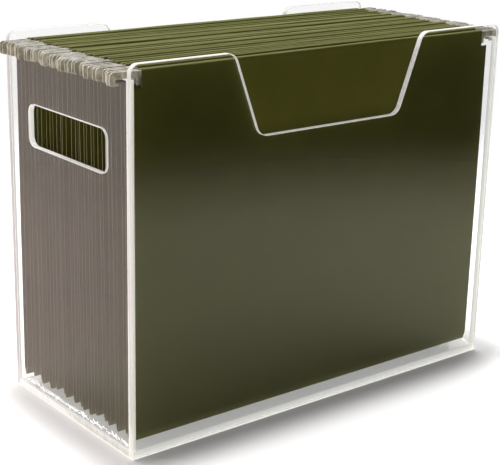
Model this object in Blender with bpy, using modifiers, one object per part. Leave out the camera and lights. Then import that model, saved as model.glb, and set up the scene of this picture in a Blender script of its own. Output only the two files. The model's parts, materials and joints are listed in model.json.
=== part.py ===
"""Clear desk box for letter-size hanging folders, with the folders that hang in it.

Five acrylic panels make the box: a front and a back with raised corner ears and a
tapered finger notch, two sides with a hand slot, and a bottom.  Eighteen folders hang
by their rods' hooks on the top edges of the two sides.  X runs along the front, Y to
the back and Z up, in metres, with the origin under the middle of the box.
"""

import math

import bmesh
import bpy

# ---- box ---------------------------------------------------------------------------
BOX_WIDTH = 0.312
BOX_DEPTH = 0.1465
BOX_HEIGHT = 0.248
WALL = 0.004
JOINT_GAP = 0.0003          # left open between panels that are cemented edge to face
SIDE_TOP = 0.2385           # top edges of the sides, which are the rails

EAR_OUTER_RADIUS = 0.0062
NOTCH_TOP_WIDTH = 0.160
NOTCH_FLOOR_WIDTH = 0.119
NOTCH_DEPTH = 0.054
NOTCH_TOP_RADIUS = 0.0085
NOTCH_FLOOR_RADIUS = 0.0085

SLOT_LENGTH = 0.092
SLOT_HEIGHT = 0.0275
SLOT_MIDDLE_HEIGHT = 0.191
SLOT_RADIUS = 0.0062

# ---- folders -----------------------------------------------------------------------
# One row for each folder, front to back: the free width in front of it at the left and
# at the right end, and the spacing of its two hems.  Few of them hang quite square.
FOLDER_ROWS = (
    (0.0012, 0.0012, 0.0033),
    (0.0034, 0.0034, 0.0032),
    (0.0030, 0.0026, 0.0036),
    (0.0014, 0.0006, 0.0044),
    (0.0034, 0.0028, 0.0031),
    (0.0020, 0.0005, 0.0032),
    (0.0005, 0.0028, 0.0032),
    (0.0005, 0.0005, 0.0032),
    (0.0014, 0.0005, 0.0033),
    (0.0004, 0.0004, 0.0031),
    (0.0036, 0.0005, 0.0031),
    (0.0018, 0.0018, 0.0031),
    (0.0026, 0.0005, 0.0031),
    (0.0004, 0.0005, 0.0030),
    (0.0034, 0.0014, 0.0032),
    (0.0012, 0.0040, 0.0034),
    (0.0009, 0.0041, 0.0040),
    (0.0021, 0.0042, 0.0036),
)
ROW_SPAN = 0.300            # where those widths are taken: this far apart, left to right
ROOM_GAP = 0.0004           # between the rooms that two neighbours keep to
SIDE_PLAY = 0.0018          # how far a folder may hang off centre on the rails

PAPER = 0.00035
BODY_WIDTH = 0.2985
HEM_WIDTH = 0.288
HEM_THICKNESS = 0.0023
SHOULDER_HEIGHT = 0.233     # top corners of the sheet beside the hem
HEM_TAIL_END = 0.2335       # cut edge of the turned-over strip
HEM_PINCH_TOP = 0.2384      # below the rod the strip crosses to the flap between these
HEM_PINCH_END = 0.2368
TAIL_SPACING = 0.00066      # glued strip to flap, middle to middle
FLAP_HALF_SPACING = 0.00208  # between crease and flap, middle to middle, at the V's top
CREASE_RADIUS = 0.0006
CREASE_RISE = 0.0060        # height of the V between the crease and the straight flaps
CREASE_HEIGHT = 0.0083      # underside of the lowest crease
CREASE_STEP = 0.0018        # how much higher the highest crease is

# ---- rods --------------------------------------------------------------------------
ROD_THICKNESS = 0.0012
ROD_STRIP_HEIGHT = 0.0044
ROD_REST_GAP = 0.0003
HOOK_REACH = 0.0082         # rod tip past the outer face of the side
HOOK_LEG_BOTTOM = 0.2346    # inner leg
HOOK_FOOT_BOTTOM = 0.2350   # outer leg, whose foot turns in towards the side
HOOK_FOOT_TOP = 0.2363
HOOK_FOOT_END = 0.0022      # foot's end past the outer face of the side
HOOK_NOTCH_OUTER = 0.0046   # notch edge past the outer face of the side
HOOK_NOTCH_INNER = 0.0091   # notch edge inside the outer face of the side
INNER_LEG_WIDTH = 0.0025
TIP_RADIUS = 0.0024
FOOT_RADIUS = 0.0016
LEG_RADIUS = 0.0009
ROD_BOTTOM = SIDE_TOP + ROD_REST_GAP
ROD_TOP = ROD_BOTTOM + ROD_STRIP_HEIGHT

ARC_STEPS = 6
ROD_ARC_STEPS = 2
CREASE_STEPS = 3

ACRYLIC = ("clear_acrylic", (0.93, 0.95, 0.94, 0.35), 0.04, 0.0)
OLIVE_PAPER = ("olive_paper", (0.085, 0.095, 0.035, 1.0), 0.75, 0.0)
COATED_STEEL = ("cream_coated_steel", (0.72, 0.69, 0.60, 1.0), 0.35, 0.0)


def clear_scene():
    for old in list(bpy.data.objects):
        bpy.data.objects.remove(old, do_unlink=True)


def new_collection(name):
    collection = bpy.data.collections.new(name)
    bpy.context.scene.collection.children.link(collection)
    return collection


def make_material(spec):
    name, colour, roughness, metallic = spec
    material = bpy.data.materials.new(name)
    material.use_nodes = True
    shader = material.node_tree.nodes["Principled BSDF"]
    shader.inputs["Base Color"].default_value = colour
    shader.inputs["Roughness"].default_value = roughness
    shader.inputs["Metallic"].default_value = metallic
    return material


def rounded_outline(corners, steps):
    """Points of a closed outline whose corners are (x, y, radius), each turned by an arc."""
    points = []
    count = len(corners)
    for index, (x, y, radius) in enumerate(corners):
        before = corners[index - 1]
        after = corners[(index + 1) % count]
        into = math.atan2(before[1] - y, before[0] - x)
        out = math.atan2(after[1] - y, after[0] - x)
        if radius == 0.0:
            points.append((x, y))
            continue
        opening = (out - into + math.pi) % (2.0 * math.pi) - math.pi
        half = abs(opening) / 2.0
        middle = into + opening / 2.0
        reach = radius / math.sin(half)
        centre_x = x + reach * math.cos(middle)
        centre_y = y + reach * math.sin(middle)
        turn = math.copysign(math.pi - 2.0 * half, opening)
        first = middle + math.pi + turn / 2.0
        for step in range(steps + 1):
            angle = first - turn * step / steps
            points.append((centre_x + radius * math.cos(angle), centre_y + radius * math.sin(angle)))
    return points


def plate(name, outlines, thickness, material, collection):
    """A flat plate in its own XY plane; a second outline inside the first is a hole."""
    curve = bpy.data.curves.new(name, "CURVE")
    curve.dimensions = "2D"
    curve.fill_mode = "BOTH"
    curve.extrude = thickness / 2.0
    for outline in outlines:
        spline = curve.splines.new("POLY")
        spline.points.add(len(outline) - 1)
        for point, (x, y) in zip(spline.points, outline):
            point.co = (x, y, 0.0, 1.0)
        spline.use_cyclic_u = True
    curve.materials.append(material)
    made = bpy.data.objects.new(name, curve)
    collection.objects.link(made)
    return made


def rounded_rectangle(x_low, x_high, y_low, y_high, radius):
    corners = [
        (x_low, y_low, radius),
        (x_high, y_low, radius),
        (x_high, y_high, radius),
        (x_low, y_high, radius),
    ]
    return corners


# ---- box panels --------------------------------------------------------------------
def notched_outline():
    """Front and back: a rectangle with two raised ears either side of a tapered notch."""
    half = BOX_WIDTH / 2.0
    notch_floor = BOX_HEIGHT - NOTCH_DEPTH
    corners = [
        (-half, 0.0, 0.0),
        (half, 0.0, 0.0),
        (half, BOX_HEIGHT, EAR_OUTER_RADIUS),
        (NOTCH_TOP_WIDTH / 2.0, BOX_HEIGHT, NOTCH_TOP_RADIUS),
        (NOTCH_FLOOR_WIDTH / 2.0, notch_floor, NOTCH_FLOOR_RADIUS),
        (-NOTCH_FLOOR_WIDTH / 2.0, notch_floor, NOTCH_FLOOR_RADIUS),
        (-NOTCH_TOP_WIDTH / 2.0, BOX_HEIGHT, NOTCH_TOP_RADIUS),
        (-half, BOX_HEIGHT, EAR_OUTER_RADIUS),
    ]
    return rounded_outline(corners, ARC_STEPS)


def long_panel(name, y_middle, material, collection):
    panel = plate(name, [notched_outline()], WALL, material, collection)
    panel.rotation_euler = (math.pi / 2.0, 0.0, 0.0)
    panel.location = (0.0, y_middle, 0.0)
    return panel


def side_panel(name, x_middle, material, collection):
    """A side stands on the bottom panel, between the front and the back."""
    half_length = BOX_DEPTH / 2.0 - WALL - JOINT_GAP
    border = rounded_outline(
        rounded_rectangle(-half_length, half_length, WALL + JOINT_GAP, SIDE_TOP, 0.0),
        ARC_STEPS,
    )
    slot = rounded_outline(
        rounded_rectangle(
            -SLOT_LENGTH / 2.0,
            SLOT_LENGTH / 2.0,
            SLOT_MIDDLE_HEIGHT - SLOT_HEIGHT / 2.0,
            SLOT_MIDDLE_HEIGHT + SLOT_HEIGHT / 2.0,
            SLOT_RADIUS,
        ),
        ARC_STEPS,
    )
    panel = plate(name, [border, slot], WALL, material, collection)
    panel.rotation_euler = (math.pi / 2.0, 0.0, math.pi / 2.0)
    panel.location = (x_middle, 0.0, 0.0)
    return panel


def bottom_panel(material, collection):
    half_length = BOX_WIDTH / 2.0
    half_depth = BOX_DEPTH / 2.0 - WALL - JOINT_GAP
    border = rounded_outline(
        rounded_rectangle(-half_length, half_length, -half_depth, half_depth, 0.0),
        ARC_STEPS,
    )
    panel = plate("bottom_panel", [border], WALL, material, collection)
    panel.location = (0.0, 0.0, WALL / 2.0)
    return panel


def build_box(material, collection):
    y_middle = (BOX_DEPTH - WALL) / 2.0
    x_middle = (BOX_WIDTH - WALL) / 2.0
    long_panel("front_panel", -y_middle, material, collection)
    long_panel("back_panel", y_middle, material, collection)
    side_panel("left_panel", -x_middle, material, collection)
    side_panel("right_panel", x_middle, material, collection)
    bottom_panel(material, collection)


# ---- folders -----------------------------------------------------------------------
def folder_places():
    """For each folder: hem spacing, middle, turn, and its own room, as (left, right) pairs in Y."""
    inner_half = BOX_DEPTH / 2.0 - WALL
    fronts = [-inner_half, -inner_half]
    middles = []
    for left_gap, right_gap, spacing in FOLDER_ROWS:
        half_slab = (spacing + HEM_THICKNESS) / 2.0
        left = fronts[0] + left_gap + half_slab
        right = fronts[1] + right_gap + half_slab
        middles.append((left, right))
        fronts = [left + half_slab, right + half_slab]
    halves = [(row[2] + HEM_THICKNESS) / 2.0 for row in FOLDER_ROWS]
    edges = [(-inner_half, -inner_half)]
    for index in range(len(middles) - 1):
        edges.append(tuple(
            (near + halves[index] + far - halves[index + 1]) / 2.0
            for near, far in zip(middles[index], middles[index + 1])
        ))
    edges.append((inner_half, inner_half))
    places = []
    for index, (left, right) in enumerate(middles):
        spacing = FOLDER_ROWS[index][2]
        turn = math.atan2(right - left, ROW_SPAN)
        room_front = max(edge - end for edge, end in zip(edges[index], (left, right))) + ROOM_GAP / 2.0
        room_back = min(edge - end for edge, end in zip(edges[index + 1], (left, right))) - ROOM_GAP / 2.0
        places.append((spacing, (left, right), turn, room_front, room_back))
    return places


def hem_profile(middle, side):
    """Middle line of one hem, from the glued tail over the rod to the top of the flap.

    side is -1 for the hem whose flap is in front of its tail, and 1 for the other.  The
    outer wall runs straight down into the flap.
    """
    wall = (HEM_THICKNESS - PAPER) / 2.0
    crown = wall * 0.6
    crown_top = ROD_TOP + 0.0007
    crown_edge = ROD_TOP + 0.0001
    outer = middle + side * wall
    inner = middle - side * wall
    return [
        (outer - side * TAIL_SPACING, HEM_TAIL_END),
        (outer - side * TAIL_SPACING, HEM_PINCH_END),
        (inner, HEM_PINCH_TOP),
        (inner, crown_edge),
        (middle - side * crown, crown_top),
        (middle + side * crown, crown_top),
        (outer, crown_edge),
        (outer, SHOULDER_HEIGHT),
    ]


def sheet_profile(spacing, crease_y, crease_height):
    """Middle line of the whole sheet: front hem and flap, V fold at the bottom, back flap and hem."""
    front = hem_profile(-spacing / 2.0, -1.0)
    back = hem_profile(spacing / 2.0, 1.0)
    centre_height = crease_height + CREASE_RADIUS + PAPER / 2.0
    fold_top = crease_height + CREASE_RISE + PAPER / 2.0
    fold = [(crease_y - FLAP_HALF_SPACING, fold_top)]
    for step in range(CREASE_STEPS + 1):
        angle = math.pi * (1.2 + 0.6 * step / CREASE_STEPS)
        y = crease_y + CREASE_RADIUS * math.cos(angle)
        z = centre_height + CREASE_RADIUS * math.sin(angle)
        fold.append((y, z))
    fold.append((crease_y + FLAP_HALF_SPACING, fold_top))
    return front + fold + list(reversed(back))


def folder_paper(name, profile, material, collection):
    """One sheet, swept along X; the corners beside the hems are cut away."""
    stations = (-BODY_WIDTH / 2.0, -HEM_WIDTH / 2.0, HEM_WIDTH / 2.0, BODY_WIDTH / 2.0)
    work = bmesh.new()
    rows = []
    for x in stations:
        rows.append([work.verts.new((x, y, z)) for y, z in profile])
    for left, right in zip(rows, rows[1:]):
        at_end = left is rows[0] or right is rows[-1]
        for index in range(len(profile) - 1):
            middle_height = (profile[index][1] + profile[index + 1][1]) / 2.0
            if at_end and middle_height > SHOULDER_HEIGHT:
                continue
            work.faces.new((left[index], left[index + 1], right[index + 1], right[index]))
    loose = [vertex for vertex in work.verts if not vertex.link_faces]
    bmesh.ops.delete(work, geom=loose, context="VERTS")
    bmesh.ops.recalc_face_normals(work, faces=work.faces)
    mesh = bpy.data.meshes.new(name)
    work.to_mesh(mesh)
    work.free()
    mesh.materials.append(material)
    made = bpy.data.objects.new(name, mesh)
    collection.objects.link(made)
    shell = made.modifiers.new("paper", "SOLIDIFY")
    shell.thickness = PAPER
    shell.offset = 0.0
    shell.use_even_offset = True
    return made


def rod_outline():
    """A flat strip with a hook at each end: footed outer leg, notch over the rail, inner leg."""
    outer_face = BOX_WIDTH / 2.0
    tip = outer_face + HOOK_REACH
    foot_end = outer_face + HOOK_FOOT_END
    notch_outer = outer_face + HOOK_NOTCH_OUTER
    notch_inner = outer_face - HOOK_NOTCH_INNER
    leg_inner = notch_inner - INNER_LEG_WIDTH
    right = [
        (leg_inner, ROD_BOTTOM, 0.0),
        (leg_inner, HOOK_LEG_BOTTOM, LEG_RADIUS),
        (notch_inner, HOOK_LEG_BOTTOM, LEG_RADIUS),
        (notch_inner, ROD_BOTTOM, LEG_RADIUS),
        (notch_outer, ROD_BOTTOM, LEG_RADIUS),
        (notch_outer, HOOK_FOOT_TOP, LEG_RADIUS),
        (foot_end, HOOK_FOOT_TOP, 0.0),
        (foot_end, HOOK_FOOT_BOTTOM, 0.0),
        (tip, HOOK_FOOT_BOTTOM, FOOT_RADIUS),
        (tip, ROD_TOP, TIP_RADIUS),
    ]
    left = [(-x, z, radius) for x, z, radius in reversed(right)]
    return rounded_outline(right + left, ROD_ARC_STEPS)


def folder_rod(name, y_middle, material, collection):
    rod = plate(name, [rod_outline()], ROD_THICKNESS, material, collection)
    rod.rotation_euler = (math.pi / 2.0, 0.0, 0.0)
    rod.location = (0.0, y_middle, 0.0)
    return rod


def build_folder(number, place, spread_y, paper_material, rod_material, collection):
    """One folder on an empty: a sheet with two hems, and a rod in each hem."""
    spacing, (left, right), turn, room_front, room_back = place
    label = "folder_{:02d}".format(number)
    hanger = bpy.data.objects.new(label, None)
    collection.objects.link(hanger)
    off_centre = SIDE_PLAY * ((5 * number + 2) % 7 - 3) / 3.0
    hanger.location = (off_centre, (left + right) / 2.0 + off_centre * math.tan(turn), 0.0)
    hanger.rotation_euler = (0.0, 0.0, turn)

    flap_half = FLAP_HALF_SPACING + PAPER / 2.0
    crease_y = min(max(spread_y - left, room_front + flap_half), room_back - flap_half)
    crease_height = CREASE_HEIGHT + CREASE_STEP * ((7 * number + number // 4) % 5) / 4.0
    profile = sheet_profile(spacing, crease_y, crease_height)
    pieces = [
        folder_paper(label + "_paper", profile, paper_material, collection),
        folder_rod(label + "_front_rod", -spacing / 2.0, rod_material, collection),
        folder_rod(label + "_back_rod", spacing / 2.0, rod_material, collection),
    ]
    for piece in pieces:
        piece.parent = hanger


def build_folders(paper_material, rod_material, collection):
    """The hems stand in uneven groups on the rails; the creases spread evenly below them."""
    places = folder_places()
    inner_depth = BOX_DEPTH - 2.0 * WALL
    even_pitch = inner_depth / len(places)
    for number, place in enumerate(places, start=1):
        spread_y = -inner_depth / 2.0 + even_pitch * (number - 0.5)
        build_folder(number, place, spread_y, paper_material, rod_material, collection)


clear_scene()
parts = new_collection("hanging_file_rack")
build_box(make_material(ACRYLIC), parts)
build_folders(make_material(OLIVE_PAPER), make_material(COATED_STEEL), parts)
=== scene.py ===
"""Looks for the clear desk box of hanging folders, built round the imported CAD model."""

import json
import math

import bmesh
import bpy
from mathutils import Matrix, Vector

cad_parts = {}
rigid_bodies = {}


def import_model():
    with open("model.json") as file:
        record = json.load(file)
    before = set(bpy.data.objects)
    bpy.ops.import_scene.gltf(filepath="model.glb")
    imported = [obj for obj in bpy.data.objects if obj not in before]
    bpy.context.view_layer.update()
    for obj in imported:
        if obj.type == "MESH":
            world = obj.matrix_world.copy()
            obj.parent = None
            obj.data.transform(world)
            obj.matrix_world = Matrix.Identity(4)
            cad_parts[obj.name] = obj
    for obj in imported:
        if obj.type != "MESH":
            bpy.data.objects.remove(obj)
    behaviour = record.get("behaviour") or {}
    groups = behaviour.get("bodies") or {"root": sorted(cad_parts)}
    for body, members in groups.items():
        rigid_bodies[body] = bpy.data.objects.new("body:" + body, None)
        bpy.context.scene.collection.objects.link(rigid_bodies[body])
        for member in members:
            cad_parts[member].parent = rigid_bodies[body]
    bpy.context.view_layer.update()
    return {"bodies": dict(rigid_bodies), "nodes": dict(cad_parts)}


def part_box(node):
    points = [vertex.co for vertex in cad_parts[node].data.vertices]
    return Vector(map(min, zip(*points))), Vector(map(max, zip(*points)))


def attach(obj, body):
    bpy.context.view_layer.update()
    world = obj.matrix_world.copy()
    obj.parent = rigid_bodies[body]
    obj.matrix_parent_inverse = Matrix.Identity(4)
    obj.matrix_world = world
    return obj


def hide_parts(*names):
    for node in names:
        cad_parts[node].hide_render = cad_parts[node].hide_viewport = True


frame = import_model()


# ======================================================================================
# Studio.  A pale tabletop under a big overhead softbox and a small one on the left, with
# the room dark in front of the box and bright behind it, so the acrylic can mirror both.
# ======================================================================================
MM = 0.001

scene = bpy.context.scene
scene.view_settings.view_transform = "Standard"
scene.view_settings.look = "None"
scene.cycles.max_bounces = 24
scene.cycles.transmission_bounces = 20
scene.cycles.glossy_bounces = 8
scene.cycles.diffuse_bounces = 4


def new_material(name):
    """A material with its node tree and its Principled shader."""
    material = bpy.data.materials.new(name)
    material.use_nodes = True
    tree = material.node_tree
    return material, tree, tree.nodes["Principled BSDF"]


def add_node(tree, kind, settings=None, **inputs):
    """A node with its settings and plain input values; underscores stand for spaces."""
    node = tree.nodes.new(kind)
    for key, value in (settings or {}).items():
        setattr(node, key, value)
    for key, value in inputs.items():
        node.inputs[key.replace("_", " ")].default_value = value
    return node


def link(tree, from_node, output, to_node, socket):
    tree.links.new(from_node.outputs[output], to_node.inputs[socket])


def map_range(tree, easing, **limits):
    """Maps a value from one range to another; limits are From_Min, From_Max, To_Min and To_Max."""
    return add_node(tree, "ShaderNodeMapRange", {"interpolation_type": easing}, **limits)


def calculate(tree, operation, second=None, third=None):
    """A Math node whose second and third values may be plain numbers."""
    node = add_node(tree, "ShaderNodeMath", {"operation": operation})
    for socket, value in ((1, second), (2, third)):
        if value is not None:
            node.inputs[socket].default_value = value
    return node


# Sockets of a Mix node in its colour mode.
MIX_FIRST = 6
MIX_SECOND = 7
MIX_RESULT = 2


def mix_colors(tree, first=None, second=None, blend="MIX", factor=None):
    """A Mix node for two colours, either of which may be plain."""
    node = add_node(tree, "ShaderNodeMix", {"data_type": "RGBA", "blend_type": blend})
    for socket, value in (("Factor", factor), (MIX_FIRST, first), (MIX_SECOND, second)):
        if value is not None:
            node.inputs[socket].default_value = value
    return node


def color_ramp(tree, low, high, low_at=0.0, high_at=1.0):
    """A ramp between two colours, which starts at low_at and ends at high_at."""
    node = add_node(tree, "ShaderNodeValToRGB")
    ends = node.color_ramp.elements
    ends[0].position, ends[1].position = low_at, high_at
    ends[0].color, ends[1].color = low, high
    return node


def look_from(azimuth, elevation, roll, distance, target):
    """Camera axes for a view from that side; azimuth 0 looks along +Y."""
    around, above, tilt = (math.radians(a) for a in (azimuth, elevation, roll))
    back = Vector((
        math.sin(around) * math.cos(above),
        -math.cos(around) * math.cos(above),
        math.sin(above),
    ))
    level = (-back).cross(Vector((0, 0, 1))).normalized()
    upright = level.cross(-back)
    right = math.cos(tilt) * level + math.sin(tilt) * upright
    up = -math.sin(tilt) * level + math.cos(tilt) * upright
    turned = Matrix((right, up, back)).transposed().to_4x4()
    return Matrix.Translation(target + back * distance) @ turned


camera_data = bpy.data.cameras.new("camera")
camera_data.lens = 94.76
camera_data.sensor_width = 36.0
camera_data.clip_start = 0.01
camera = bpy.data.objects.new("camera", camera_data)
camera.matrix_world = look_from(-38.758, 17.321, 1.245, 0.93183, Vector((-0.00762, 0.0, 0.10318)))
scene.collection.objects.link(camera)
scene.camera = camera

FLOOR_RADIUS = 1.6
FLOOR_DROP = 0.3 * MM
CONTACT_REACH = 48.0 * MM     # how far the shade round the box's foot spreads
UNDER_BOX = 0.2 * MM          # closer than this counts as under the box
WHITE = (1, 1, 1, 1)
cad_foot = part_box("back_panel")[1]


def lens_mask(tree):
    """1 for what the lens sees, directly or through the acrylic; 0 for light and reflections."""
    rays = tree.nodes.new("ShaderNodeLightPath")
    bounces = calculate(tree, "ADD")
    unlit = calculate(tree, "LESS_THAN", 0.5)    # no diffuse or glossy bounce so far
    through = calculate(tree, "MULTIPLY")
    either = calculate(tree, "MAXIMUM")
    link(tree, rays, "Diffuse Depth", bounces, 0)
    link(tree, rays, "Glossy Depth", bounces, 1)
    link(tree, bounces, 0, unlit, 0)
    link(tree, rays, "Is Transmission Ray", through, 0)
    link(tree, unlit, 0, through, 1)
    link(tree, through, 0, either, 0)
    link(tree, rays, "Is Camera Ray", either, 1)
    return either


def tabletop():
    """A pale sheet that melts into the white room, with a painted soft contact shadow round the box.

    The lens sees a plain pale grey, brightened by a painted glow under the box; reflections see a warm
    tint with painted shade that darkens it towards the front."""
    work = bmesh.new()
    bmesh.ops.create_circle(work, cap_ends=True, segments=96, radius=FLOOR_RADIUS)
    bmesh.ops.translate(work, vec=(0, 0, -FLOOR_DROP), verts=work.verts)
    mesh = bpy.data.meshes.new("tabletop")
    work.to_mesh(mesh)
    work.free()
    floor = bpy.data.objects.new("tabletop", mesh)
    scene.collection.objects.link(floor)
    material, tree, shader = new_material("pale_laminate")
    where = add_node(tree, "ShaderNodeTexCoord")
    grain = add_node(tree, "ShaderNodeTexNoise", Scale=9.0, Detail=4.0, Roughness=0.6)
    tint = color_ramp(tree, (0.87, 0.87, 0.87, 1), (0.91, 0.91, 0.91, 1))
    axes = add_node(tree, "ShaderNodeSeparateXYZ")
    # Painted shade: for reflections the floor darkens towards the front.
    shade = map_range(tree, "SMOOTHSTEP", From_Min=-0.90, From_Max=-0.40, To_Min=0.01, To_Max=1.0)
    behind = map_range(tree, "SMOOTHSTEP", From_Min=-0.15, From_Max=0.15)
    paint = mix_colors(tree, first=(0.82, 0.81, 0.62, 1), second=(0.82, 0.68, 0.64, 1))
    shaded = mix_colors(tree, blend="MULTIPLY", factor=1.0)
    chosen = mix_colors(tree)
    lift = calculate(tree, "MULTIPLY")
    mirrored = add_node(tree, "ShaderNodeVectorMath", {"operation": "ABSOLUTE"})
    outside = add_node(tree, "ShaderNodeVectorMath", {"operation": "SUBTRACT"})
    outside.inputs[1].default_value = (cad_foot.x, cad_foot.y, 1.0)    # 1.0 drops the height
    positive = add_node(tree, "ShaderNodeVectorMath", {"operation": "MAXIMUM"})
    nearby = add_node(tree, "ShaderNodeVectorMath", {"operation": "LENGTH"})
    # Painted contact shadow: the floor's glow fades out towards the box's foot.
    painted_contact_shade = map_range(tree, "SMOOTHERSTEP", From_Max=CONTACT_REACH, To_Min=0.05, To_Max=0.78)
    # Painted light: under the box the glow is raised again.
    under = calculate(tree, "LESS_THAN", UNDER_BOX)
    painted_light_under_box = calculate(tree, "MULTIPLY_ADD", 0.42)
    away = add_node(tree, "ShaderNodeVectorMath", {"operation": "LENGTH"})
    fade = map_range(tree, "SMOOTHSTEP", From_Min=0.45, From_Max=0.95, To_Min=1.0, To_Max=0.0)
    lens = lens_mask(tree)
    link(tree, where, "Object", grain, "Vector")
    link(tree, grain, "Fac", tint, "Fac")
    link(tree, where, "Object", axes, "Vector")
    link(tree, axes, "Y", shade, "Value")
    link(tree, axes, "Y", behind, "Value")
    link(tree, behind, "Result", paint, "Factor")
    link(tree, paint, MIX_RESULT, shaded, MIX_FIRST)
    link(tree, shade, "Result", shaded, MIX_SECOND)
    link(tree, lens, 0, chosen, "Factor")
    link(tree, shaded, MIX_RESULT, chosen, MIX_FIRST)
    link(tree, tint, "Color", chosen, MIX_SECOND)
    link(tree, chosen, MIX_RESULT, shader, "Base Color")
    link(tree, where, "Object", mirrored, 0)
    link(tree, mirrored, 0, outside, 0)
    link(tree, outside, 0, positive, 0)
    link(tree, positive, 0, nearby, 0)
    link(tree, nearby, "Value", painted_contact_shade, "Value")
    link(tree, lens, 0, lift, 0)
    link(tree, nearby, "Value", under, 0)
    link(tree, under, 0, painted_light_under_box, 0)
    link(tree, painted_contact_shade, "Result", painted_light_under_box, 2)
    link(tree, painted_light_under_box, 0, lift, 1)
    link(tree, lift, 0, shader, "Emission Strength")
    link(tree, where, "Object", away, 0)
    link(tree, away, "Value", fade, "Value")
    link(tree, fade, "Result", shader, "Alpha")
    shader.inputs["Emission Color"].default_value = WHITE
    shader.inputs["Roughness"].default_value = 0.7
    shader.inputs["Specular IOR Level"].default_value = 0.2
    floor.data.materials.append(material)


def softbox(name, size, location, target, power):
    """A rectangular area light aimed at target."""
    light = bpy.data.lights.new(name, "AREA")
    light.shape = "RECTANGLE"
    light.size, light.size_y = size
    light.energy = power
    holder = bpy.data.objects.new(name, light)
    aim = (Vector(target) - Vector(location)).to_track_quat("-Z", "Y")
    holder.location = location
    holder.rotation_euler = aim.to_euler()
    scene.collection.objects.link(holder)


def room():
    """White to the lens; as light, bright behind and dark in front."""
    world = bpy.data.worlds.new("room")
    world.use_nodes = True
    scene.world = world
    tree = world.node_tree
    background = tree.nodes["Background"]
    where = add_node(tree, "ShaderNodeTexCoord")
    axes = add_node(tree, "ShaderNodeSeparateXYZ")
    ramp = map_range(tree, "SMOOTHSTEP", From_Min=-0.20, From_Max=0.45, To_Max=0.9)
    rays = tree.nodes.new("ShaderNodeLightPath")
    fill = calculate(tree, "MULTIPLY_ADD", 0.12, 0.02)
    seen = mix_colors(tree, second=WHITE)
    walls = mix_colors(tree, first=(0.92, 0.78, 0.74, 1), second=(0.92, 0.92, 0.90, 1))
    side = map_range(tree, "LINEAR", From_Min=-0.3, From_Max=0.1)
    dimmed = mix_colors(tree, blend="MULTIPLY", factor=1.0)
    link(tree, where, "Generated", axes, "Vector")
    link(tree, axes, "Y", ramp, "Value")
    link(tree, rays, "Diffuse Depth", fill, 0)
    link(tree, fill, 0, ramp, "To Min")
    link(tree, axes, "X", side, "Value")
    link(tree, side, "Result", walls, "Factor")
    link(tree, walls, MIX_RESULT, dimmed, MIX_FIRST)
    link(tree, ramp, "Result", dimmed, MIX_SECOND)
    link(tree, lens_mask(tree), 0, seen, "Factor")
    link(tree, dimmed, MIX_RESULT, seen, MIX_FIRST)
    link(tree, seen, MIX_RESULT, background, "Color")


tabletop()
room()
softbox("overhead_softbox", (2.0, 1.4), (0.1, 0.62, 1.45), (0.0, 0.0, 0.1), 25.0)
softbox("left_softbox", (0.5, 0.5), (-1.25, -0.15, 0.55), (-0.15, 0.0, 0.12), 1.8)


# ======================================================================================
# Acrylic box.  Five clear cast-acrylic sheets, 4 mm thick, laser-cut with flame-polished
# outer edges and cemented edge to face; the saw-cut faces inside the joints stay milky.
# ======================================================================================
POLISH_RADIUS = 0.45 * MM
CEMENT_FILM = 0.05 * MM      # what the joint leaves open between two sheets
EDGE_TURNS = 2
ACRYLIC_IOR = 1.49
CURVE_STEPS = 14


def rounded_outline(corners, steps):
    """Points of a closed outline whose corners are (x, y, radius), each turned by an arc."""
    points = []
    for index, (x, y, radius) in enumerate(corners):
        before, after = corners[index - 1], corners[(index + 1) % len(corners)]
        if radius == 0.0:
            points.append((x, y))
            continue
        into = math.atan2(before[1] - y, before[0] - x)
        out = math.atan2(after[1] - y, after[0] - x)
        opening = (out - into + math.pi) % (2.0 * math.pi) - math.pi
        half = abs(opening) / 2.0
        middle = into + opening / 2.0
        reach = radius / math.sin(half)
        turn = math.copysign(math.pi - 2.0 * half, opening)
        for step in range(steps + 1):
            angle = middle + math.pi + turn / 2.0 - turn * step / steps
            points.append((
                x + reach * math.cos(middle) + radius * math.cos(angle),
                y + reach * math.sin(middle) + radius * math.sin(angle),
            ))
    return points


def rounded_slab(name, outlines, thickness, edge_radius, turns, place):
    """A flat plate with rounded edges, cut to outlines in its own XY plane and then placed."""
    curve = bpy.data.curves.new(name, "CURVE")
    curve.dimensions = "2D"
    curve.fill_mode = "BOTH"
    curve.extrude = thickness / 2.0 - edge_radius
    curve.bevel_depth = edge_radius
    curve.bevel_resolution = turns
    curve.offset = -edge_radius
    for outline in outlines:
        spline = curve.splines.new("POLY")
        spline.points.add(len(outline) - 1)
        for point, (x, y) in zip(spline.points, outline):
            point.co = (x, y, 0.0, 1.0)
        spline.use_cyclic_u = True
    holder = bpy.data.objects.new(name, curve)
    scene.collection.objects.link(holder)
    bpy.context.view_layer.update()
    mesh = bpy.data.meshes.new_from_object(holder.evaluated_get(bpy.context.evaluated_depsgraph_get()))
    bpy.data.objects.remove(holder)
    work = bmesh.new()
    work.from_mesh(mesh)
    bmesh.ops.remove_doubles(work, verts=work.verts, dist=1e-6)
    bmesh.ops.transform(work, matrix=place, verts=work.verts)
    bmesh.ops.recalc_face_normals(work, faces=work.faces)
    work.to_mesh(mesh)
    work.free()
    mesh.name = name
    flat_way = (place.to_3x3() @ Vector((0, 0, 1))).normalized()
    for face in mesh.polygons:
        face.use_smooth = abs(face.normal.dot(flat_way)) < 0.999
    piece = bpy.data.objects.new(name, mesh)
    scene.collection.objects.link(piece)
    return piece


def shader_group(name, inputs, outputs):
    """An empty shader group with named inputs and outputs, and its two end nodes."""
    group = bpy.data.node_groups.new(name, "ShaderNodeTree")
    for way, labels in (("INPUT", inputs), ("OUTPUT", outputs)):
        for label, kind in labels.items():
            group.interface.new_socket(label, in_out=way, socket_type="NodeSocket" + kind)
    return group, group.nodes.new("NodeGroupInput"), group.nodes.new("NodeGroupOutput")


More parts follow.
